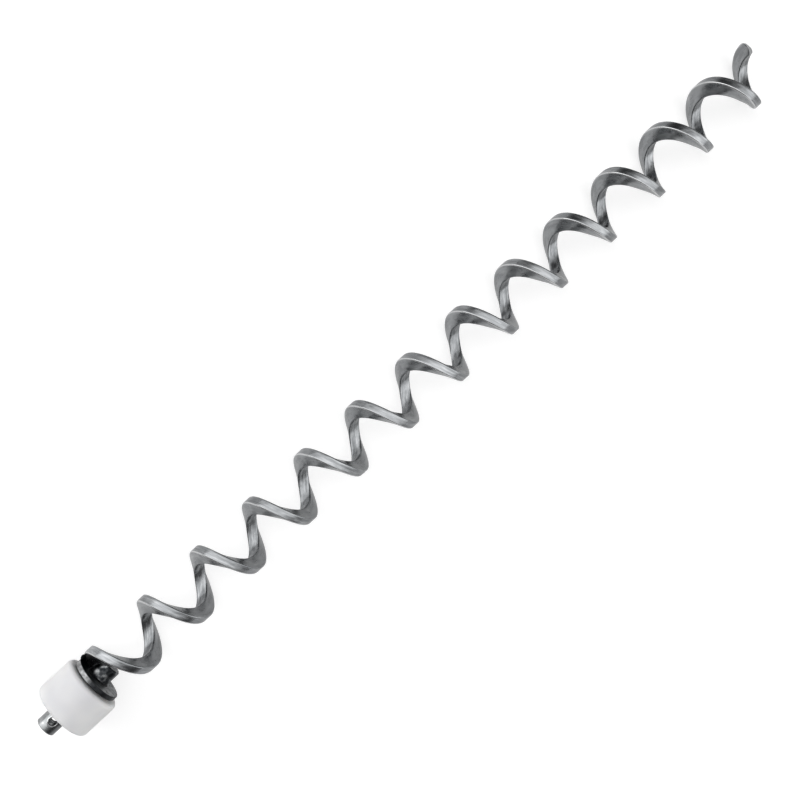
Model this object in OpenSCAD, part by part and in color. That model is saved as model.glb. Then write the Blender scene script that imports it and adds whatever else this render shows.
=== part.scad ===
// Shaftless feed auger: a heavy flat bar wound on edge into an open helical
// flight, welded to a disc on a short drive shaft that turns in a nylon bushing.
// The conveyor's axis is +X. The origin is the centre of the shaft's drive end,
// the flight's free tip points along +X, and the auger lies on its side with +Z up.

/* [Flight] */
// Outside diameter of the flight
flight_d = 38.1; // [36:0.1:42]
// Length of the flight along the axis, from the disc's face to its tip
flight_l = 584.7; // [200:0.1:600]
// Advance of the flight in one turn
pitch = 44.45; // [40:0.05:52]
// Width of the flight bar, across the flight's radius
bar_w = 9.4; // [8:0.1:10]
// Mean thickness of the flight bar
bar_t = 6.4; // [5:0.1:7]
// Rounding of the bar's long edges
bar_edge = 0.8; // [0.4:0.1:1.2]
// How far the flight's outer edge leans towards the tip
dish = 1.3; // [0:0.1:2]
// Angle round the axis at which the flight leaves the disc
start_a = -51.4; // [-90:0.1:90]
// How far the flight is drawn in towards the shaft where it leaves the disc
draw_in = 2; // [0.6:0.1:2]
// Angle round the axis in which the flight comes out to its full diameter
draw_a = 137; // [90:1:180]
// How far the middle of the flight's cut tip stands past its rounded corners
tip_crown = 2.5; // [1:0.1:4.5]
// Turn of the tip's cut, in degrees round the axis for each mm through the bar
tip_skew = 3; // [0:0.1:3.5]

/* [Disc] */
// Diameter of the disc that carries the flight
disc_d = 32.5; // [30:0.05:34]
// Thickness of the disc
disc_t = 3.2; // [2.5:0.1:4]
// Chamfer round the disc's rim
disc_edge = 0.35; // [0.1:0.05:0.6]

/* [Drive shaft] */
// Diameter of the drive shaft
shaft_d = 13.4; // [12:0.05:13.5]
// Length of shaft that stands out of the bushing at the drive end
stub_l = 13.5; // [11:0.1:20]
// Length of shaft that stands into the flight past the disc
nose_l = 10.8; // [6:0.1:14]
// Chamfer at the drive end
stub_edge = 0.6; // [0.2:0.1:1]
// Rounding at the nose
nose_edge = 1.2; // [0.5:0.1:2]
// Diameter of the socket that takes the gear motor's shaft
socket_d = 8.1; // [7:0.1:9]
// Depth of the socket, without its drill point
socket_l = 25; // [16:0.5:30]
// Diameter of the cross hole for the shear pin
pin_hole_d = 5.2; // [4:0.1:5.6]
// Distance of the cross hole's centre from the drive end
pin_hole_x = 7.6; // [5:0.1:8.5]

/* [Bushing] */
// Outside diameter of the nylon bushing
bush_d = 40.6; // [36:0.1:42]
// Length of the bushing
bush_l = 26.5; // [20:0.1:35]
// Rounding of the bushing's outer edges
bush_edge = 2.5; // [0.5:0.1:3.5]
// Radial running clearance between the bushing and the shaft
bush_gap = 0.08; // [0.02:0.01:0.1]
// End play between the bushing and the disc
end_play = 1; // [0.2:0.1:2]

/* [Welds] */
// Leg of the fillet weld round the shaft on the disc
hub_weld_leg = 0.85; // [0.5:0.05:0.9]
// Width of the weld bead that joins the flight to the disc's rim
bead_w = 3; // [2:0.1:3.6]
// How deep that bead sinks into the disc and the flight
bead_sink = 0.7; // [0.3:0.1:1]
// Widest wedge between the flight and the disc that the bead fills
bead_max = 3.6; // [2:0.1:4]

/* [Hidden] */
eps = 0.01;
steel = "#8b9192";
bright_steel = "#b4b8ba";
dark_steel = "#55595b";
weld_grey = "#3c3f41";
nylon = "#e6e6e6";
disc_gap = 0.03;         // assembly gap between the disc's hole and the shaft

// stations along the axis
bush_x = stub_l;
disc_x = bush_x + bush_l + end_play;
face_x = disc_x + disc_t;
shaft_l = face_x + nose_l;

// flight
flight_r = flight_d / 2;
bar_h = bar_w / 2;
mid_r = flight_r - bar_h;
edge_thinning = 0.4;     // a bar bent on edge thins outside and thickens inside
foot_rise = 0.5;         // height of the bar's middle over the disc at its start
ring_step = 9;           // degrees between the sweep's rings
tip_a = start_a + 360 * (flight_l - foot_rise) / pitch;
mid_turn_l = norm([2 * PI * mid_r, pitch]);
tip_round_a = 360 * tip_crown / mid_turn_l;
tip_rings = 5;
tip_last = 62;           // degrees round the tip's oval at its last ring
tip_lead = 45;           // degrees over which the rings turn into the tip's cut

// Axial thickness of the bar at radius r
function bar_axial(r) =
    bar_t * pow(mid_r / r, edge_thinning) / cos(atan(pitch / (2 * PI * r)));

// Smooth fall from 1 to 0 as u goes from 0 to 1
function ease(u) = u <= 0 ? 1 : u >= 1 ? 0 : 1 - u * u * (3 - 2 * u);

// Position of the bar's middle along the axis, and its drawn-in radius, at angle a
function flight_x(a) = face_x + foot_rise + pitch * (a - start_a) / 360;
function flight_mid_r(a) = mid_r - draw_in * ease((a - start_a) / draw_a);

// Corners of the bar's section as [distance from its middle radius, axial position]
function section(half, r_mid) =
    let (e = min(bar_edge, 0.35 * half),
         out = bar_axial(r_mid + half) / 2,
         inn = bar_axial(r_mid - half) / 2,
         lean = dish / bar_w)
    [for (p = [[half, e - out], [half, out - e], [half - e, out], [e - half, inn],
               [-half, inn - e], [-half, e - inn], [e - half, -inn], [half - e, -out]])
        [p[0], p[1] + lean * p[0]]];

// One ring of the sweep at angle a, with the side towards the disc ground flat on its
// face, and turned by skew degrees for each mm through the bar
function ring(a, half, skew = 0) =
    [for (p = section(half, flight_mid_r(a)))
        let (r = flight_mid_r(a) + p[0], b = a - skew * p[1])
        [max(flight_x(b) + p[1], face_x), r * cos(b), r * sin(b)]];

// Closed solid through rings of n points each
module sweep(rings) {
    n = len(rings[0]);
    last = len(rings) - 1;
    points = [for (r = rings) for (p = r) p];
    sides = [for (i = [0:last - 1]) for (j = [0:n - 1])
        let (k = (j + 1) % n)
        for (t = [[i * n + j, i * n + k, (i + 1) * n + j],
                  [i * n + k, (i + 1) * n + k, (i + 1) * n + j]]) t];
    start = [for (j = [1:n - 2]) [0, j + 1, j]];
    end = [for (j = [1:n - 2]) [last * n, last * n + j, last * n + j + 1]];
    polyhedron(points, concat(sides, start, end));
}

// Angles of the plain rings from a0 to a1
function ring_angles(a0, a1) =
    let (n = ceil((a1 - a0) / ring_step)) [for (i = [0:n]) a0 + (a1 - a0) * i / n];

module flight_coil() {
    last_a = tip_a - tip_round_a;
    plain = [for (a = ring_angles(start_a, last_a))
        ring(a, bar_h, tip_skew * max(1 - (last_a - a) / tip_lead, 0))];
    tip = [for (i = [1:tip_rings])
        let (q = tip_last * i / tip_rings)
        ring(last_a + tip_round_a * sin(q) / sin(tip_last), bar_h * cos(q), tip_skew)];
    color(steel) sweep(concat(plain, tip));
}

// Height of the flight's outer edge over the disc's face at angle a
function foot_gap(a) =
    max(flight_x(a) + dish / 2 - bar_axial(flight_mid_r(a) + bar_h) / 2 - face_x, 0);

// Weld bead along the disc's rim, which fills the wedge where the flight lifts off
// the disc and sinks a little into both
module flight_weld() {
    span = 58;           // degrees of the rim that the bead follows
    lead = 6;            // degrees that it starts ahead of the flight
    bead_rings = 14;
    sides = 12;
    color(weld_grey) sweep([for (i = [0:bead_rings])
        let (u = i / bead_rings,
             a = start_a - lead + span * u,
             swell = sqrt(1.02 - pow(abs(2 * u - 1), 3)),
             half_x = bead_sink + min(foot_gap(a), bead_max) / 2 * swell,
             half_r = bead_w / 2 * swell)
        [for (j = [0:sides - 1])
            let (b = 360 * j / sides, r = disc_d / 2 + half_r * cos(b))
            [face_x + half_x - bead_sink + half_x * swell * sin(b), r * cos(a), r * sin(a)]]]);
}

module along_axis(x = 0) {
    translate([x, 0, 0]) rotate([0, 90, 0]) children();
}

module flange_disc() {
    r = disc_d / 2;
    hole_r = shaft_d / 2 + disc_gap;
    e = disc_edge;
    color(dark_steel) along_axis(disc_x) rotate_extrude($fn = 96)
        polygon([[hole_r, 0], [r - e, 0], [r, e], [r, disc_t - e], [r - e, disc_t], [hole_r, disc_t]]);
}

// Fillet weld between the disc and the nose of the shaft
module hub_weld() {
    color(weld_grey) along_axis(face_x) rotate_extrude($fn = 96) difference() {
        translate([shaft_d / 2, 0]) square(hub_weld_leg);
        translate([shaft_d / 2 + hub_weld_leg, hub_weld_leg]) circle(r = hub_weld_leg * 0.8, $fn = 48);
    }
}

module drive_shaft() {
    r = shaft_d / 2;
    color(bright_steel) difference() {
        along_axis() rotate_extrude($fn = 96) union() {
            polygon([[0, 0], [r - stub_edge, 0], [r, stub_edge], [r, shaft_l - nose_edge],
                     [r - nose_edge, shaft_l - nose_edge], [r - nose_edge, shaft_l], [0, shaft_l]]);
            translate([r - nose_edge, shaft_l - nose_edge]) intersection() {
                circle(r = nose_edge, $fn = 48);
                square(nose_edge);
            }
        }
        motor_socket();
        pin_hole();
    }
}

// Blind socket for the gear motor's shaft, with a mouth chamfer and a drill point
module motor_socket() {
    r = socket_d / 2;
    mouth = 0.4;
    point = r * tan(31);
    along_axis() rotate_extrude($fn = 64)
        polygon([[0, -1], [r + mouth + 1, -1], [r, mouth], [r, socket_l], [0, socket_l + point]]);
}

// Cross hole for the shear pin, deburred where it breaks the shaft's surface
module pin_hole() {
    r = pin_hole_d / 2;
    flat_z = sqrt(pow(shaft_d / 2, 2) - r * r);
    burr = 1.5;          // height of the deburring cone
    translate([pin_hole_x, 0, 0]) {
        cylinder(r = r, h = shaft_d + 2, center = true, $fn = 64);
        for (side = [0, 1]) mirror([0, 0, side])
            translate([0, 0, flat_z - 0.5]) cylinder(r1 = r, r2 = r + burr, h = burr, $fn = 64);
    }
}

module bushing() {
    r_in = shaft_d / 2 + bush_gap;
    r_out = bush_d / 2;
    e = bush_edge;
    bore_edge = 0.5;
    color(nylon) along_axis(bush_x) rotate_extrude($fn = 96) difference() {
        union() {
            translate([r_in, 0]) square([r_out - e - r_in, bush_l]);
            translate([r_out - e - eps, e]) square([e + eps, bush_l - 2 * e]);
            for (x = [e, bush_l - e]) translate([r_out - e, x]) circle(r = e, $fn = 64);
        }
        for (x = [0, bush_l]) translate([r_in, x]) rotate(45) square(bore_edge * sqrt(2), center = true);
    }
}

flight_coil();
flight_weld();
flange_disc();
hub_weld();
drive_shaft();
bushing();
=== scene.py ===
"""Shaftless feed auger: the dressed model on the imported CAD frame."""
from math import atan, atan2, cos, degrees, hypot, pi, radians, sin, sqrt

import bmesh
import bpy
from mathutils import Euler, Matrix, Vector


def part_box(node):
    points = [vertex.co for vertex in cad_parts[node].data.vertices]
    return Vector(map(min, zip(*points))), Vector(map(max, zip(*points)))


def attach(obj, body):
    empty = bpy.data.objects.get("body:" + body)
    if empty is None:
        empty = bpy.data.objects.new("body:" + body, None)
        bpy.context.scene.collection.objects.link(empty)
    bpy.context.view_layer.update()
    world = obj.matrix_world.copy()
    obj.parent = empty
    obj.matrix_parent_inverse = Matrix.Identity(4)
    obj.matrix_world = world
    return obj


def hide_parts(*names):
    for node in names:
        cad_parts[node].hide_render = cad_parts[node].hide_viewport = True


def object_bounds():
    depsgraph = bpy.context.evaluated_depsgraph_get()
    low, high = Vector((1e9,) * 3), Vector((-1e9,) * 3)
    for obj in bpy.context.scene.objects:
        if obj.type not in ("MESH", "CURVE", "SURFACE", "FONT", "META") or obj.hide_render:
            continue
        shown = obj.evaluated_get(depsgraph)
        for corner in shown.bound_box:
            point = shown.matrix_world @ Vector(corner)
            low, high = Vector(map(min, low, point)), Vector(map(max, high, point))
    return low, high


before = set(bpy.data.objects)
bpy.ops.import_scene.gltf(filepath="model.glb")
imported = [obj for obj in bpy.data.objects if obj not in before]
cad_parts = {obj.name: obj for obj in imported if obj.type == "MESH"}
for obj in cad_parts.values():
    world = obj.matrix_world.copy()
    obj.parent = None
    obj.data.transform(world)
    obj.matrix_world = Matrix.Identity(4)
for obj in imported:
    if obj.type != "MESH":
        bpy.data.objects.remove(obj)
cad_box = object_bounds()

MM = 0.001
X_AXIS = Vector((1, 0, 0))
ORIGIN = (0, 0, 0)

# The flight's sizes, repeated from the part's source, in millimetres and degrees.
FLIGHT_D = 38.1
FLIGHT_L = 584.7
PITCH = 44.45
BAR_W = 9.4
BAR_T = 6.4
EDGE_THINNING = 0.4      # a bar bent on edge thins outside and thickens inside
DISH = 1.3               # how far its outer edge leans towards the tip
START_A = -51.4          # angle round the axis at which it leaves the disc
FOOT_RISE = 0.5          # height of its middle over the disc there
DRAW_IN = 2.0            # how far it is drawn in towards the shaft there
DRAW_A = 137.0           # turn in which it comes out to its full diameter
TIP_CROWN = 2.5          # how far the middle of its cut tip stands past the corners
TIP_LAST = 62.0          # angle round the tip's oval at which the cut ends it
TIP_SKEW = 3.0           # turn of the cut for each millimetre through the bar
TIP_LEAD = 45.0          # turn over which the bar comes into that cut

# The bar's edges in millimetres. The coiling leaves the inner ones rounder.
BAR_EDGE_OUT = 0.8
BAR_EDGE_IN = 1.1
TIP_EDGE = 0.5

# The other pieces' sizes, repeated from the part's source, in millimetres and degrees.
SHAFT_D = 13.4
PIN_HOLE_D = 5.2
PIN_HOLE_X = 7.6
DISC_EDGE = 0.35
DISC_GAP = 0.03
BUSH_EDGE = 2.5
BUSH_GAP = 0.08
HUB_WELD_LEG = 0.85
BEAD_W = 3.0
BEAD_SINK = 0.7          # how deep the rim's bead sinks into the disc and the flight
BEAD_MAX = 3.6           # widest wedge between the two that it fills
BEAD_SPAN = 58.0         # how much of the rim it follows
BEAD_LEAD = 6.0          # how far before the flight's foot it starts

# Places read from the frame, in millimetres.
DISC_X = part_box("flange_disc")[0].x / MM
FACE_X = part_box("flange_disc")[1].x / MM
DISC_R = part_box("flange_disc")[1].z / MM
BUSH_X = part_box("bushing")[0].x / MM
BUSH_END_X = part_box("bushing")[1].x / MM
BUSH_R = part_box("bushing")[1].z / MM

SHAFT_R = SHAFT_D / 2
PIN_HOLE_R = PIN_HOLE_D / 2
BAR_H = BAR_W / 2
MID_R = FLIGHT_D / 2 - BAR_H
OUTER_R = MID_R + BAR_H
INNER_R = MID_R - BAR_H
LEAN = DISH / BAR_W
MID_TURN = hypot(2 * pi * MID_R, PITCH)
TIP_A = START_A + 360 * (FLIGHT_L - FOOT_RISE) / PITCH
LAST_A = TIP_A - 360 * TIP_CROWN / MID_TURN


# ---------------------------------------------------------------- the flight's own form

def bar_axial(r):
    """Thickness of the bar along the axis at radius r: thin outside, thick inside."""
    return BAR_T * (MID_R / r) ** EDGE_THINNING / cos(atan(PITCH / (2 * pi * r)))


def ease(u):
    """Smooth fall from 1 to 0 as u goes from 0 to 1."""
    u = min(max(u, 0.0), 1.0)
    return 1 - u * u * (3 - 2 * u)


def flight_x(a):
    """Place of the bar's middle along the axis at angle a."""
    return FACE_X + FOOT_RISE + PITCH * (a - START_A) / 360


def flight_mid_r(a):
    """Radius of the bar's middle at angle a: drawn in at the foot."""
    return MID_R - DRAW_IN * ease((a - START_A) / DRAW_A)


def foot_gap(a):
    """Height of the flight's outer edge over the disc's face at angle a."""
    return max(flight_x(a) + DISH / 2 - bar_axial(flight_mid_r(a) + BAR_H) / 2 - FACE_X, 0)


def at_angle(x, r, a):
    """Point at x along the axis, radius r and angle a in degrees, from millimetres."""
    return Vector((x, r * cos(radians(a)), r * sin(radians(a)))) * MM


# ---------------------------------------------------------------- meshes

def place(name, data):
    """A new object with this mesh, lamp or camera, in the scene at the origin."""
    thing = bpy.data.objects.new(name, data)
    bpy.context.scene.collection.objects.link(thing)
    return thing


def finish_mesh(bm, name, material, body, node):
    """Turns a bmesh into a piece that rides on its body and stands for a CAD node, with
    flat faces kept flat between rounded edges."""
    bmesh.ops.remove_doubles(bm, verts=bm.verts, dist=0.002 * MM)
    bmesh.ops.recalc_face_normals(bm, faces=bm.faces)
    if bm.calc_volume(signed=True) < 0:
        bmesh.ops.reverse_faces(bm, faces=bm.faces)
    for face in bm.faces:
        face.smooth = True
    mesh = bpy.data.meshes.new(name)
    bm.to_mesh(mesh)
    bm.free()
    mesh.materials.append(material)
    piece = place(name, mesh)
    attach(piece, body)
    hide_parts(node)
    piece.modifiers.new("even_shading", "WEIGHTED_NORMAL").weight = 90


def draw_outline(bm, corners, rounds, segments):
    """Closed outline through corners (x along the axis, distance from it), each with its
    own rounding, all in millimetres, in the plane z = 0."""
    verts = [bm.verts.new(Vector((x, r, 0)) * MM) for x, r in corners]
    bm.faces.new(verts)
    for vert, rounding in zip(verts, rounds):
        if rounding:
            bmesh.ops.bevel(bm, geom=[vert], affect="VERTICES", offset=rounding * MM,
                            offset_type="OFFSET", segments=segments, profile=0.5, material=-1)
    bmesh.ops.delete(bm, geom=bm.faces[:], context="FACES_ONLY")


def turn_full(bm, steps):
    """Turns the whole outline once round the axis."""
    bmesh.ops.spin(bm, geom=bm.verts[:] + bm.edges[:], cent=ORIGIN, axis=X_AXIS,
                   angle=radians(360), steps=steps, use_merge=True)


def wind(bm, geom, turn, steps, copies=False):
    """Sweeps geometry along the flight's helix through a turn in degrees, or sets copies
    of it end to end."""
    bmesh.ops.spin(bm, geom=geom, cent=ORIGIN, axis=X_AXIS, angle=radians(turn), steps=steps,
                   dvec=X_AXIS * PITCH * (turn / steps) / 360 * MM, use_duplicate=copies)


def flight_blank(bm):
    """The bar's outline wound along a plain helix, then on a little for the tip. The
    first of its equal lengths is wound in fine steps and the others copy it."""
    lengths = 13
    length_steps = 108
    tip_steps = 14
    middle = FACE_X + FOOT_RISE
    top = bar_axial(OUTER_R) / 2
    foot = bar_axial(INNER_R) / 2
    lean = LEAN * BAR_H
    corners = [(middle + top + lean, OUTER_R), (middle + foot - lean, INNER_R),
               (middle - foot - lean, INNER_R), (middle - top + lean, OUTER_R)]
    draw_outline(bm, corners, [BAR_EDGE_OUT, BAR_EDGE_IN, BAR_EDGE_IN, BAR_EDGE_OUT], 4)
    sides = [e for e in bm.edges if e.calc_length() > 2 * MM]
    bmesh.ops.subdivide_edges(bm, edges=sides, cuts=3)
    bmesh.ops.rotate(bm, verts=bm.verts, cent=ORIGIN,
                     matrix=Matrix.Rotation(radians(START_A), 3, "X"))

    length_a = (LAST_A - START_A) / lengths
    wind(bm, bm.verts[:] + bm.edges[:], length_a, length_steps)
    wind(bm, bm.verts[:] + bm.edges[:] + bm.faces[:], length_a * (lengths - 1), lengths - 1,
         copies=True)
    bmesh.ops.remove_doubles(bm, verts=bm.verts, dist=0.01 * MM)
    far_end = [e for e in bm.edges if e.is_boundary and e.verts[0].co.x > 3 * FACE_X * MM]
    wind(bm, list({v for e in far_end for v in e.verts}) + far_end, TIP_A - LAST_A, tip_steps)


def make_flight(material):
    """The flight: one bar wound on edge, drawn in and ground flat at the foot, cut at the
    tip. Its attribute "bar" holds each point's place on the straight bar, in metres:
    along it, across its width and through its thickness."""
    bm = bmesh.new()
    flight_blank(bm)
    bar = bm.verts.layers.float_vector.new("bar")
    for v in bm.verts:
        x = v.co.x / MM
        across = v.co.yz.length / MM - MID_R
        a = degrees(atan2(v.co.z, v.co.y))
        a += 360 * round((START_A + 360 * (x - FACE_X - FOOT_RISE) / PITCH - a) / 360)
        through = x - flight_x(a)

        # Past the last full ring the bar narrows round the tip's oval.
        beyond = max(a - LAST_A, 0) / (TIP_A - LAST_A)
        if beyond:
            oval_a = radians(TIP_LAST) * beyond
            a = LAST_A + (TIP_A - LAST_A) * sin(oval_a) / sin(radians(TIP_LAST))
            narrow = across * cos(oval_a)
            thinning = bar_axial(MID_R + narrow) / bar_axial(MID_R + across)
            through = (through - LEAN * across) * thinning + LEAN * narrow
            across = narrow
        v[bar] = Vector((MID_TURN * (a - START_A) / 360, across, through)) * MM

        # The drawn-in foot is a little thicker, and the tip is cut askew.
        r_mid = flight_mid_r(a)
        thickening = bar_axial(r_mid + across) / bar_axial(MID_R + across)
        through = LEAN * across + (through - LEAN * across) * thickening
        a -= TIP_SKEW * through * max(1 - (LAST_A - min(a, LAST_A)) / TIP_LEAD, 0)
        v.co = at_angle(max(flight_x(a) + through, FACE_X), r_mid + across, a)
    open_ends = [e for e in bm.edges if e.is_boundary]
    caps = bmesh.ops.holes_fill(bm, edges=open_ends, sides=0)["faces"]
    tip = max(caps, key=lambda face: face.calc_center_median().x)
    bmesh.ops.bevel(bm, geom=list(tip.edges), affect="EDGES", offset=TIP_EDGE * MM,
                    offset_type="OFFSET", segments=3, profile=0.5, material=-1)
    finish_mesh(bm, "flight_bar", material, "auger", "flight_coil")


def make_flight_weld(material):
    """Weld bead along the disc's rim, with the ripples of a hand-run weld. It fills the
    wedge where the flight lifts off the disc, and its two ends taper."""
    ripple_a = 4.6
    ripple_depth = 0.07
    ripple_bow = 0.25
    end_size = 0.02
    bm = bmesh.new()
    start = (Matrix.Rotation(radians(START_A - BEAD_LEAD), 4, "X")
             @ Matrix.Translation((FACE_X * MM, DISC_R * MM, 0)))
    bmesh.ops.create_circle(bm, cap_ends=False, radius=MM, segments=18, matrix=start)
    bmesh.ops.spin(bm, geom=bm.verts[:] + bm.edges[:], cent=ORIGIN, axis=X_AXIS,
                   angle=radians(BEAD_SPAN), steps=110)
    for v in bm.verts:
        a = degrees(atan2(v.co.z, v.co.y))
        b = atan2(v.co.x / MM - FACE_X, v.co.yz.length / MM - DISC_R)
        u = (a - START_A + BEAD_LEAD) / BEAD_SPAN
        swell = sqrt(max(1 + end_size - abs(2 * u - 1) ** 3, end_size))
        ripple = 1 - ripple_depth * abs(sin(pi * (a / ripple_a + ripple_bow * cos(b))))
        half_x = BEAD_SINK + min(foot_gap(a), BEAD_MAX) / 2 * swell
        half_r = BEAD_W / 2 * swell
        v.co = at_angle(FACE_X + half_x - BEAD_SINK + half_x * swell * ripple * sin(b),
                        DISC_R + half_r * ripple * cos(b), a)
    bmesh.ops.holes_fill(bm, edges=[e for e in bm.edges if e.is_boundary], sides=0)
    finish_mesh(bm, "flight_bead", material, "auger", "flight_weld")


def make_hub_weld(material):
    """Fillet weld round the shaft's nose, a little uneven, with a ripple every 1.4 mm."""
    ripples = 30
    ripple_depth = 0.12
    sink = 0.1
    toe = 0.15
    leg = HUB_WELD_LEG
    bm = bmesh.new()
    corners = [(-sink, -sink), (-sink, leg), (toe, leg), (leg, toe), (leg, -sink)]
    draw_outline(bm, [(FACE_X + x, SHAFT_R + r) for x, r in corners],
                 [0, 0, 0.1, 0.1, 0], 2)
    slope = [e for e in bm.edges if 0.4 * MM < e.calc_length() < 0.9 * MM]
    bmesh.ops.subdivide_edges(bm, edges=slope, cuts=3)
    turn_full(bm, ripples * 7)
    for v in bm.verts:
        a = atan2(v.co.z, v.co.y)
        out_x = v.co.x / MM - FACE_X
        out_r = v.co.yz.length / MM - SHAFT_R
        if min(out_x, out_r) > sink / 2:
            ripple = ripple_depth * abs(sin(ripples / 2 * a + out_x))
            grow = 1 - ripple + 0.06 * sin(3 * a) + 0.05 * sin(7 * a + 1)
            v.co = at_angle(FACE_X + out_x * grow, SHAFT_R + out_r * grow, degrees(a))
    finish_mesh(bm, "hub_bead", material, "auger", "hub_weld")


def make_disc(material):
    """The disc: cut from rolled plate, with a turned rim whose edges are broken."""
    hole_r = SHAFT_R + DISC_GAP
    bm = bmesh.new()
    draw_outline(bm, [(DISC_X, hole_r), (DISC_X, DISC_R), (FACE_X, DISC_R), (FACE_X, hole_r)],
                 [0, DISC_EDGE, DISC_EDGE, 0], 3)
    turn_full(bm, 160)
    finish_mesh(bm, "flange_plate", material, "auger", "flange_disc")


def make_bushing(material):
    """The bushing: turned from nylon rod, with rounded ends and a broken edge at its bore."""
    bore_r = SHAFT_R + BUSH_GAP
    bore_edge = 0.5
    corners = [(BUSH_X, bore_r), (BUSH_X, BUSH_R), (BUSH_END_X, BUSH_R), (BUSH_END_X, bore_r)]
    bm = bmesh.new()
    draw_outline(bm, corners, [bore_edge, BUSH_EDGE, BUSH_EDGE, bore_edge], 8)
    turn_full(bm, 160)
    finish_mesh(bm, "nylon_bushing", material, "bushing", "bushing")


# ---------------------------------------------------------------- materials

def colour(hex_code):
    """Linear colour of an sRGB hex value."""
    parts = [int(hex_code[i:i + 2], 16) / 255 for i in (1, 3, 5)]
    linear = [c / 12.92 if c <= 0.04045 else ((c + 0.055) / 1.055) ** 2.4 for c in parts]
    return (*linear, 1)


def new_material(name):
    """A material with no nodes yet, and its node tree."""
    material = bpy.data.materials.new(name)
    material.use_nodes = True
    material.node_tree.nodes.clear()
    return material, material.node_tree


def add(tree, kind, inputs=None, stops=(), **settings):
    """Adds one node: inputs are values or the sockets it reads, stops a ramp's places and
    hex colours, settings its properties. Gives its first output in use."""
    node = tree.nodes.new(kind)
    for key, value in settings.items():
        setattr(node, key, value)
    for key, value in (inputs or {}).items():
        if isinstance(value, bpy.types.NodeSocket):
            tree.links.new(value, node.inputs[key])
        else:
            node.inputs[key].default_value = value
    for stop in stops[1:]:
        node.color_ramp.elements.new(stop[0])
    for element, (position, hex_code) in zip(node.color_ramp.elements if stops else (), stops):
        element.position, element.color = position, colour(hex_code)
    return next((out for out in node.outputs if out.enabled), None)


def drawn_steel():
    """Cold drawn flat bar: grey steel, streaked along its narrow edges by the die and
    patchy from oil and handling. Painted shade darkens the +X face, the one away from the
    feed, and the inner edge; a painted highlight runs along the outer corner of the face
    that pushes the feed. The first turn was cleaned bright for welding."""
    material, tree = new_material("cold_drawn_steel")
    bar = add(tree, "ShaderNodeAttribute", attribute_name="bar").node.outputs["Vector"]
    along, across, through = add(tree, "ShaderNodeSeparateXYZ", {"Vector": bar}).node.outputs

    # Die lines, flecks and patches: size in millimetres, scale along the bar and detail.
    # Real die lines are finer. These are drawn as coarse as they need to be to show.
    grain = []
    for size, lengthwise, detail in ((0.8, 0.03, 2), (1.4, 0.22, 3), (4, 0.4, 3)):
        drawn_out = add(tree, "ShaderNodeMapping", {"Vector": bar, "Scale": (lengthwise, 1, 1)})
        grain.append(add(tree, "ShaderNodeTexNoise", {
            "Vector": drawn_out, "Scale": 1 / (size * MM), "Detail": detail}))
    lines, flecks, patches = grain
    streaks = add(tree, "ShaderNodeMix", {"Factor": 0.35, "A": flecks, "B": lines},
                  data_type="FLOAT")
    tone = add(tree, "ShaderNodeMix", {"Factor": 0.4, "A": streaks, "B": patches},
               data_type="FLOAT")

    # Masks over the bar's section, in millimetres from its middle: the outer edge, the
    # inner edge, the outer corner on the face that pushes, and the face that pushes.
    corner = bar_axial(OUTER_R) / 2 - LEAN * BAR_H
    fade, full = 0.9, 0.25
    masks = []
    for where, start, end in ((across, BAR_H - fade, BAR_H - full),
                              (across, fade - BAR_H, full - BAR_H),
                              (through, fade - corner, full - corner),
                              (through, 0.5, -0.5)):
        masks.append(add(tree, "ShaderNodeMapRange", {
            "Value": where, "From Min": start * MM, "From Max": end * MM}))
    outside, inside, behind, pushing = masks
    # Painted highlight: a bright line along the outer corner on the -X side.
    painted_highlight = add(tree, "ShaderNodeMath", {0: outside, 1: behind}, operation="MULTIPLY")
    cleaned = add(tree, "ShaderNodeMapRange", {
        "Value": along, "From Min": 70 * MM, "From Max": 20 * MM, "To Min": 1.0, "To Max": 1.35})

    wide = add(tree, "ShaderNodeValToRGB", {"Fac": patches},
               [(0.36, "#8E9092"), (0.5, "#9C9EA0"), (0.64, "#AAACAE")])
    # Painted shade: the +X face, away from the feed, is darkened to 0.72 of the -X face.
    back_face_shade = add(tree, "ShaderNodeMix", {"Factor": pushing, "A": 0.72, "B": 1.0},
               data_type="FLOAT")
    wide = add(tree, "ShaderNodeVectorMath", {0: wide, "Scale": back_face_shade}, operation="SCALE")
    outer = add(tree, "ShaderNodeValToRGB", {"Fac": tone},
                [(0.4, "#797B7D"), (0.5, "#8D8F91"), (0.6, "#A1A3A5")])
    outer = add(tree, "ShaderNodeVectorMath", {0: outer, "Scale": cleaned}, operation="SCALE")
    # Painted shade: the inner edge is darker than the outer edge, over the same streaks.
    inner = add(tree, "ShaderNodeValToRGB", {"Fac": tone},
                [(0.4, "#67696B"), (0.5, "#808284"), (0.6, "#999B9D")])
    shade = wide
    for mask, finish in ((outside, outer), (inside, inner), (painted_highlight, colour("#DEDFE0"))):
        shade = add(tree, "ShaderNodeMix", {"Factor": mask, "A": shade, "B": finish},
                    data_type="RGBA")

    rough = add(tree, "ShaderNodeMapRange", {
        "Value": patches, "From Min": 0.35, "From Max": 0.65, "To Min": 0.24, "To Max": 0.34})
    narrow = add(tree, "ShaderNodeMath", {0: outside, 1: inside}, operation="ADD")
    rough = add(tree, "ShaderNodeMath", {0: narrow, 1: -0.04, 2: rough},
                operation="MULTIPLY_ADD")
    dents = add(tree, "ShaderNodeTexNoise", {"Vector": bar, "Scale": 1 / (5 * MM), "Detail": 1})
    dented = add(tree, "ShaderNodeBump", {
        "Height": dents, "Strength": 1.0, "Distance": 0.2 * MM}, invert=True)
    bump = add(tree, "ShaderNodeBump", {
        "Height": streaks, "Strength": 0.4, "Distance": 0.06 * MM, "Normal": dented})
    shader = add(tree, "ShaderNodeBsdfPrincipled", {
        "Base Color": shade, "Roughness": rough, "Metallic": 1.0, "Normal": bump})
    add(tree, "ShaderNodeOutputMaterial", {"Surface": shader})
    return material


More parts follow.
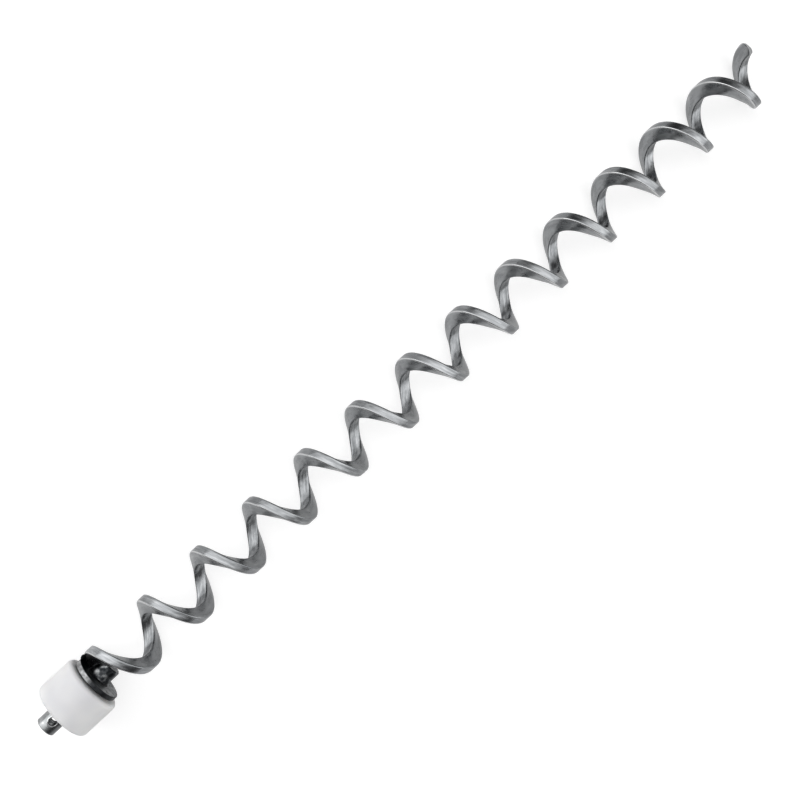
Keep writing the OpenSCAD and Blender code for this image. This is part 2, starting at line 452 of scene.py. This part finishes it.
def weld_metal():
    """Weld metal as laid: dark blue-grey scale over the ripples, with brown heat tint and
    a few bright spots of bare steel."""
    material, tree = new_material("weld_metal_with_scale")
    at = add(tree, "ShaderNodeTexCoord").node.outputs["Object"]
    scale = add(tree, "ShaderNodeTexNoise", {
        "Vector": at, "Scale": 1 / (1.2 * MM), "Detail": 5, "Roughness": 0.65})
    shade = add(tree, "ShaderNodeValToRGB", {"Fac": scale},
                [(0.3, "#101214"), (0.5, "#232527"), (0.64, "#363433"), (0.8, "#77797A")])
    rough = add(tree, "ShaderNodeMapRange", {
        "Value": scale, "From Min": 0.35, "From Max": 0.7, "To Min": 0.55, "To Max": 0.3})
    bump = add(tree, "ShaderNodeBump", {
        "Height": scale, "Strength": 0.5, "Distance": 0.08 * MM})
    shader = add(tree, "ShaderNodeBsdfPrincipled", {
        "Base Color": shade, "Roughness": rough, "Metallic": 1.0, "Normal": bump})
    add(tree, "ShaderNodeOutputMaterial", {"Surface": shader})
    return material


def plate_steel():
    """Hot rolled plate with fine facing rings. Its face is painted dark with shade towards
    +Y, where the flight's first turn stands over it, and is steel grey towards -Y. The
    turned rim is dark, with a painted highlight towards +Y."""
    material, tree = new_material("plate_steel_with_painted_shade")
    at = add(tree, "ShaderNodeTexCoord").node.outputs["Object"]
    xyz = add(tree, "ShaderNodeSeparateXYZ", {"Vector": at}).node.outputs
    flat = add(tree, "ShaderNodeCombineXYZ", {"Y": xyz["Y"], "Z": xyz["Z"]})
    radius = add(tree, "ShaderNodeVectorMath", {0: flat},
                 operation="LENGTH").node.outputs["Value"]
    # Facing rings 0.35 mm apart, coarser than a real tool leaves them, so that they show.
    rings = add(tree, "ShaderNodeTexNoise", {
        "W": radius, "Scale": 1 / (0.35 * MM), "Detail": 3}, noise_dimensions="1D")
    patches = add(tree, "ShaderNodeTexNoise", {
        "Vector": at, "Scale": 1 / (2.4 * MM), "Detail": 4, "Roughness": 0.6})

    # Each mask's coordinate, and where it starts and is whole in millimetres.
    masks = []
    for where, start, end in ((radius, DISC_R - 0.5, DISC_R - 0.1),
                              (xyz["Y"], 2, -5), (xyz["Y"], 2, 7)):
        masks.append(add(tree, "ShaderNodeMapRange", {
            "Value": where, "From Min": start * MM, "From Max": end * MM}))
    rim, unshaded, painted_highlight = masks
    # Painted shade: the face is dark towards +Y, under the flight's first turn.
    face = add(tree, "ShaderNodeMix", {
        "Factor": unshaded, "A": colour("#1B1D1F"), "B": colour("#8C8E90")}, data_type="RGBA")
    # Painted highlight: the turned rim is bright towards +Y and dark elsewhere.
    turned = add(tree, "ShaderNodeMix", {
        "Factor": painted_highlight, "A": colour("#3C3E40"), "B": colour("#B9BABB")}, data_type="RGBA")
    shade = add(tree, "ShaderNodeMix", {"Factor": rim, "A": face, "B": turned},
                data_type="RGBA")
    mottle = add(tree, "ShaderNodeValToRGB", {"Fac": patches},
                 [(0.38, "#A4A4A4"), (0.62, "#FFFFFF")])
    shade = add(tree, "ShaderNodeMix", {"Factor": 1.0, "A": shade, "B": mottle},
                data_type="RGBA", blend_type="MULTIPLY")

    rough = add(tree, "ShaderNodeMapRange", {
        "Value": patches, "From Min": 0.3, "From Max": 0.7, "To Min": 0.5, "To Max": 0.36})
    bump = add(tree, "ShaderNodeBump", {
        "Height": rings, "Strength": 0.3, "Distance": 0.05 * MM})
    shader = add(tree, "ShaderNodeBsdfPrincipled", {
        "Base Color": shade, "Roughness": rough, "Metallic": 1.0, "Normal": bump})
    add(tree, "ShaderNodeOutputMaterial", {"Surface": shader})
    return material


def turned_steel():
    """Turned steel bar: bright, with fine tool marks round it, with painted shade down its
    -Y side, black with weld scale towards the nose, painted near black inside the pin's
    hole as shade, and bare round it."""
    material, tree = new_material("turned_shaft_steel")
    at = add(tree, "ShaderNodeTexCoord").node.outputs["Object"]
    xyz = add(tree, "ShaderNodeSeparateXYZ", {"Vector": at}).node.outputs
    # Tool marks 0.25 mm apart, coarser than real ones, so that they show.
    marks = add(tree, "ShaderNodeTexNoise", {
        "W": xyz["X"], "Scale": 1 / (0.25 * MM), "Detail": 2}, noise_dimensions="1D")
    moved = add(tree, "ShaderNodeMapping", {"Vector": at, "Location": (0, 1.2 * MM, 0)})
    patches = add(tree, "ShaderNodeTexNoise", {
        "Vector": moved, "Scale": 1 / (4 * MM), "Detail": 3, "Roughness": 0.5})
    hole = add(tree, "ShaderNodeMapping", {
        "Vector": at, "Location": (-PIN_HOLE_X * MM, 0, 0), "Scale": (1, 1, 0)})
    from_hole = add(tree, "ShaderNodeVectorMath", {0: hole},
                    operation="LENGTH").node.outputs["Value"]

    # Each mask's coordinate, and where it starts and is whole in millimetres.
    masks = []
    for where, start, end in ((xyz["X"], DISC_X - 2, DISC_X),
                              (from_hole, PIN_HOLE_R + 1.0, PIN_HOLE_R + 0.5),
                              (from_hole, PIN_HOLE_R + 0.15, PIN_HOLE_R + 0.05)):
        masks.append(add(tree, "ShaderNodeMapRange", {
            "Value": where, "From Min": start * MM, "From Max": end * MM}))
    nose, rim, inside = masks
    # Painted shade: the shaft is darker down its -Y side.
    side_shade = add(tree, "ShaderNodeMapRange", {
        "Value": xyz["Y"], "From Min": 1 * MM, "From Max": -5 * MM, "To Max": 0.75})

    burnt = add(tree, "ShaderNodeValToRGB", {"Fac": patches},
                [(0.4, "#202224"), (0.52, "#434547"), (0.64, "#8C8E8F")])
    shade = add(tree, "ShaderNodeValToRGB", {"Fac": patches},
                [(0.3, "#8F9293"), (0.6, "#A9ABAC")])
    # Painted shade: the inside of the pin's hole is near black.
    for mask, finish in ((side_shade, colour("#4C4E50")), (nose, burnt),
                         (rim, colour("#DCDDDE")), (inside, colour("#0C0D0E"))):
        shade = add(tree, "ShaderNodeMix", {"Factor": mask, "A": shade, "B": finish},
                    data_type="RGBA")

    rough = add(tree, "ShaderNodeMapRange", {"Value": nose, "To Min": 0.24, "To Max": 0.34})
    rough = add(tree, "ShaderNodeMath", {0: inside, 1: 0.25, 2: rough},
                operation="MULTIPLY_ADD")
    bump = add(tree, "ShaderNodeBump", {
        "Height": marks, "Strength": 0.3, "Distance": 0.03 * MM})
    shader = add(tree, "ShaderNodeBsdfPrincipled", {
        "Base Color": shade, "Roughness": rough, "Metallic": 1.0, "Normal": bump})
    add(tree, "ShaderNodeOutputMaterial", {"Surface": shader})
    return material


def white_nylon():
    """Turned white nylon: milky and satin, with faint feed marks round it."""
    material, tree = new_material("turned_white_nylon")
    at = add(tree, "ShaderNodeTexCoord").node.outputs["Object"]
    along = add(tree, "ShaderNodeSeparateXYZ", {"Vector": at}).node.outputs["X"]
    marks = add(tree, "ShaderNodeTexNoise", {
        "W": along, "Scale": 1 / (0.3 * MM), "Detail": 2}, noise_dimensions="1D")
    clouds = add(tree, "ShaderNodeTexNoise", {
        "Vector": at, "Scale": 1 / (30 * MM), "Detail": 2})
    shade = add(tree, "ShaderNodeValToRGB", {"Fac": clouds},
                [(0.35, "#D0D0D3"), (0.65, "#E2E2E2")])
    bump = add(tree, "ShaderNodeBump", {
        "Height": marks, "Strength": 0.25, "Distance": 0.02 * MM})
    shader = add(tree, "ShaderNodeBsdfPrincipled", {
        "Base Color": shade, "Roughness": 0.48, "IOR": 1.53, "Subsurface Weight": 0.6,
        "Subsurface Radius": (1.0, 0.95, 0.9), "Subsurface Scale": 3 * MM, "Normal": bump})
    add(tree, "ShaderNodeOutputMaterial", {"Surface": shader})
    return material


def white_paper():
    """Matt white paper. It glows a little to the camera, so that it shows white and keeps
    a soft shadow, and less to the metal that mirrors it."""
    camera_glow = 0.6
    mirrored_share = 0.47
    material, tree = new_material("white_paper_sweep")
    path = add(tree, "ShaderNodeLightPath").node.outputs
    mirrored = add(tree, "ShaderNodeMath", {
        0: path["Is Glossy Ray"], 1: path["Is Transmission Ray"]}, operation="MAXIMUM")
    mirrored = add(tree, "ShaderNodeMath", {0: mirrored, 1: mirrored_share},
                   operation="MULTIPLY")
    seen = add(tree, "ShaderNodeMath", {0: path["Is Camera Ray"], 1: mirrored},
               operation="MAXIMUM")
    strength = add(tree, "ShaderNodeMath", {0: seen, 1: camera_glow}, operation="MULTIPLY")
    paper = add(tree, "ShaderNodeBsdfDiffuse", {"Color": colour("#BEBEBE")})
    glow = add(tree, "ShaderNodeEmission", {"Strength": strength})
    both = add(tree, "ShaderNodeAddShader", {0: paper, 1: glow})
    add(tree, "ShaderNodeOutputMaterial", {"Surface": both})
    return material


# ---------------------------------------------------------------- stage

def make_floor():
    """Plain pale floor under the auger."""
    low = min(corner.z for corner in cad_box)
    middle_x = 0.31
    bm = bmesh.new()
    bmesh.ops.create_grid(bm, x_segments=1, y_segments=1, size=3.0,
                          matrix=Matrix.Translation((middle_x, 0, low)))
    mesh = bpy.data.meshes.new("studio_floor")
    bm.to_mesh(mesh)
    bm.free()
    mesh.materials.append(white_paper())
    place("studio_floor", mesh)


def make_lights():
    """A dim studio with one long soft strip light overhead, across the auger, and pale
    walls at its two ends, made in the world so that they have no edge in the metal. What
    the camera sees past the floor is white."""
    strip_turn = radians(20)
    strip_shift = 0.05
    strip_inner, strip_outer = 0.144, 0.51
    strip_strength = 2.06
    room_strength = 0.056
    horizon_strength = 0.5
    horizon_top = 0.3
    wall_strength = 0.2
    wall_inner, wall_outer = 0.6, 0.85
    world = bpy.data.worlds.new("studio_room")
    bpy.context.scene.world = world
    world.use_nodes = True
    tree = world.node_tree
    tree.nodes.clear()
    camera_ray = add(tree, "ShaderNodeLightPath").node.outputs["Is Camera Ray"]
    towards = add(tree, "ShaderNodeTexCoord").node.outputs["Generated"]
    xyz = add(tree, "ShaderNodeSeparateXYZ", {"Vector": towards}).node.outputs

    # The strip: bright within its inner width, fading out to its outer width.
    aside = add(tree, "ShaderNodeVectorMath", {
        0: towards, 1: (cos(strip_turn), sin(strip_turn), 0)},
        operation="DOT_PRODUCT").node.outputs["Value"]
    aside = add(tree, "ShaderNodeMath", {0: aside, 1: strip_shift}, operation="SUBTRACT")
    aside = add(tree, "ShaderNodeMath", {0: aside}, operation="ABSOLUTE")
    strip = add(tree, "ShaderNodeMapRange", {
        "Value": aside, "From Min": strip_inner, "From Max": strip_outer,
        "To Min": strip_strength, "To Max": 0.0}, interpolation_type="SMOOTHSTEP")
    overhead = add(tree, "ShaderNodeMapRange", {"Value": xyz["Z"], "From Max": horizon_top},
                   interpolation_type="SMOOTHSTEP")

    # The room: a glow above the horizon, dark overhead, and the pale end walls.
    room = add(tree, "ShaderNodeMapRange", {
        "Value": xyz["Z"], "From Max": horizon_top,
        "To Min": horizon_strength, "To Max": room_strength})
    endwards = add(tree, "ShaderNodeMath", {0: xyz["X"]}, operation="ABSOLUTE")
    walls = add(tree, "ShaderNodeMapRange", {
        "Value": endwards, "From Min": wall_inner, "From Max": wall_outer,
        "To Max": wall_strength}, interpolation_type="SMOOTHSTEP")
    room = add(tree, "ShaderNodeMath", {0: room, 1: walls}, operation="MAXIMUM")
    studio = add(tree, "ShaderNodeMath", {0: strip, 1: overhead, 2: room},
                 operation="MULTIPLY_ADD")
    seen = add(tree, "ShaderNodeMix", {"Factor": camera_ray, "A": studio, "B": 1.0},
               data_type="FLOAT")
    back = add(tree, "ShaderNodeBackground", {"Color": (1, 1, 1, 1), "Strength": seen})
    add(tree, "ShaderNodeOutputWorld", {"Surface": back})


def make_side_lamp():
    """A weak soft lamp at one side, kept out of the metal, that rounds off the white nylon."""
    lamp = bpy.data.lights.new("side_softbox", "AREA")
    lamp.size = 0.5
    lamp.energy = 2.8
    softbox = place("side_softbox", lamp)
    softbox.location = (-0.15, 0.75, 0.27)
    aim = Vector((0.03, 0, 0)) - softbox.location
    softbox.rotation_euler = aim.to_track_quat("-Z", "Y").to_euler()
    softbox.visible_glossy = False


def make_camera():
    """The camera: nearly overhead, turned so that the auger lies corner to corner."""
    view = bpy.data.cameras.new("overhead_camera")
    view.sensor_width = 36
    view.lens = 49.6326
    view.shift_x = 0.010135
    view.shift_y = 0.024945
    camera = place("overhead_camera", view)
    camera.location = (0.22806, 0.0547, 0.69871)
    camera.rotation_euler = Euler((radians(-0.431), radians(-6.897), radians(-42.626)), "XYZ")
    bpy.context.scene.camera = camera


make_camera()
make_lights()
make_side_lamp()
make_floor()
weld = weld_metal()
make_flight(drawn_steel())
make_flight_weld(weld)
make_hub_weld(weld)
make_disc(plate_steel())
make_bushing(white_nylon())
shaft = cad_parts["drive_shaft"]
shaft.data.materials.clear()
shaft.data.materials.append(turned_steel())

bpy.context.scene.view_settings.view_transform = "Standard"
